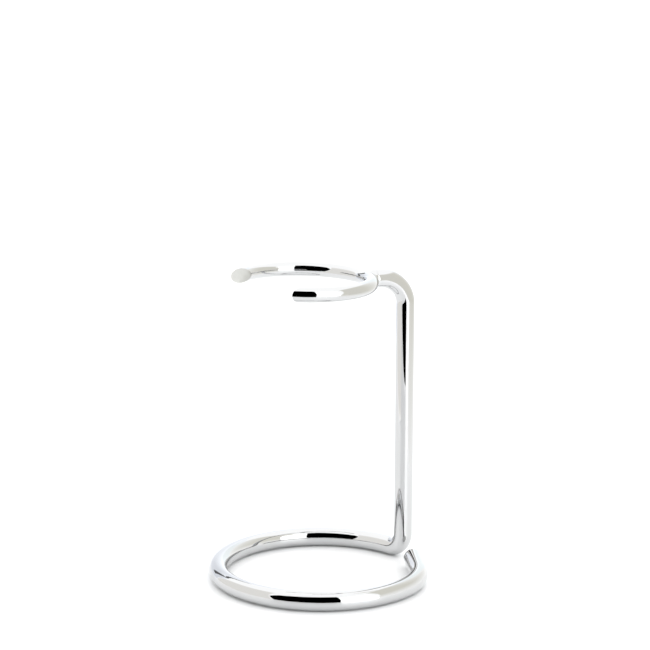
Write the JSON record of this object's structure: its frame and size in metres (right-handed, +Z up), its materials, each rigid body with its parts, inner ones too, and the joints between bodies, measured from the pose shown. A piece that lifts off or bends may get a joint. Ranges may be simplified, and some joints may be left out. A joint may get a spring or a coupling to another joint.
{
  "type": "shaving brush stand",
  "caption": "Chromed wire stand: a round base ring and upright in one bent rod, with a split ring on top that a shaving brush hangs in.",
  "frame": {"origin": "on the floor, under the centre of the base ring", "axes": "+Z up; the arm points along -X from the upright to the split ring, which opens towards -X; +Y completes the right-handed frame"},
  "size_m": [0.0587, 0.0596, 0.0809],
  "materials": {
    "polished_chrome": "mirror polished chrome plate over steel"
  },
  "bodies": {
    "root": {"stand_rod": "polished_chrome", "brush_ring": "polished_chrome", "braze_bead": "polished_chrome"}
  },
  "joints": []
}
